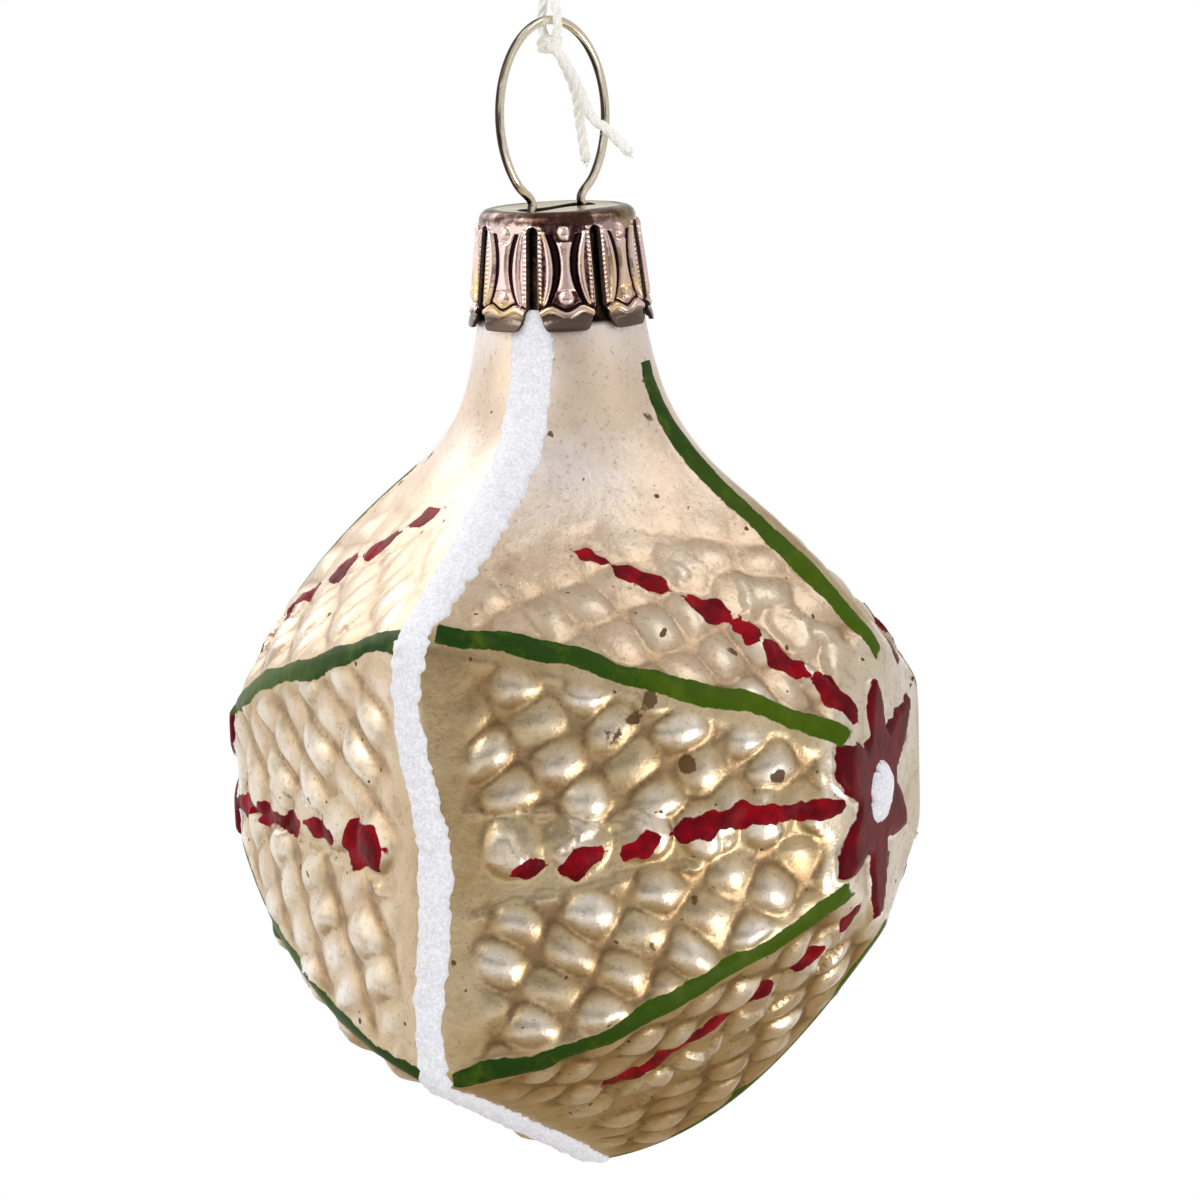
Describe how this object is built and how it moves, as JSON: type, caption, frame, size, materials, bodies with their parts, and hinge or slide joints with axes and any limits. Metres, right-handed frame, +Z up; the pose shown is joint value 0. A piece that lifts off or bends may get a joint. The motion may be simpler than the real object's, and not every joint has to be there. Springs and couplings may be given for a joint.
{
  "type": "star ornament",
  "caption": "Silvered glass star ornament with quilted faces, a crown cap, a wire hanger loop and a cotton thread to hang it by.",
  "frame": {"origin": "inside the top of the thread loop, on the hook or twig that holds it", "axes": "+Z up along the neck, X across the mould seam, -Y out of the front flower"},
  "size_m": [0.0476, 0.0418, 0.0947],
  "materials": {
    "silvered_glass": "satin",
    "frosting": "matte",
    "cap_sheet": "satin",
    "steel_wire": "satin",
    "cotton_thread": "matte"
  },
  "bodies": {
    "thread": {"thread_loop": "cotton_thread"},
    "knot": {"thread_knot": "cotton_thread", "thread_tail_inner": "cotton_thread", "thread_tail_outer": "cotton_thread"},
    "wire": {"hanger": "steel_wire"},
    "crown": {"cap": "cap_sheet"},
    "star": {"glass_body": "silvered_glass", "frost_band": "frosting"}
  },
  "joints": [
    {"name": "thread_twist", "type": "hinge", "parent": "thread", "child": "knot", "pos_m": [0, 0, -0.0177], "axis": [0, 0, 1], "continuous": true},
    {"name": "ring_swing", "type": "hinge", "parent": "knot", "child": "wire", "pos_m": [0, 0, -0.0205], "axis": [0.9397, -0.342, 0], "range_deg": [-90, 90]},
    {"name": "loop_tilt", "type": "hinge", "parent": "wire", "child": "crown", "pos_m": [0, 0, -0.03175], "axis": [0.9397, -0.342, 0], "range_deg": [-6, 6]},
    {"name": "cap_pull", "type": "slide", "parent": "crown", "child": "star", "axis": [0, 0, -1], "range_m": [0, 0.014]}
  ]
}
